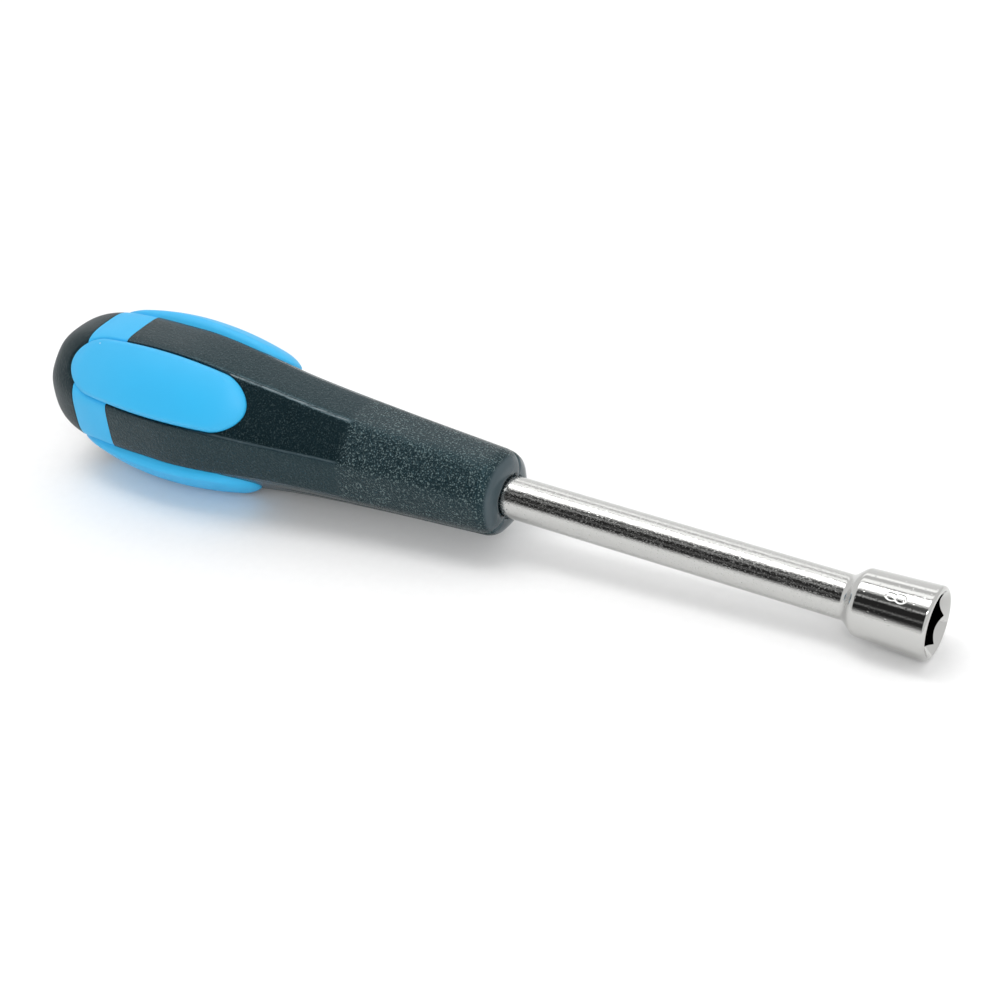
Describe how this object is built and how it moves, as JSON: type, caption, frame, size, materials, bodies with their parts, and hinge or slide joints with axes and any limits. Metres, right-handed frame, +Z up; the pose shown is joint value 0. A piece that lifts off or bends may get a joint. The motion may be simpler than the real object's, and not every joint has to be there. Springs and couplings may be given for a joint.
{
  "type": "nut driver",
  "caption": "Hand nut driver: chromed blade with a hexagon socket, in a black octagonal handle with a soft blue band and raised grip pads.",
  "frame": {"origin": "middle of the socket's mouth, on the axis", "axes": "+X along the axis and out of the socket, +Z up, with the pads at 45 degrees to Y and Z so that two of them lie underneath"},
  "size_m": [0.173, 0.0282, 0.0282],
  "materials": {
    "chromed_steel": "bright chrome plate over drawn steel",
    "core_plastic": "satin moulded polypropylene",
    "sleeve_plastic": "grained moulded polypropylene",
    "grip_rubber": "satin thermoplastic rubber"
  },
  "bodies": {
    "root": {"blade": "chromed_steel", "handle_core": "core_plastic", "handle_sleeve": "sleeve_plastic", "soft_grip": "grip_rubber"}
  },
  "joints": []
}
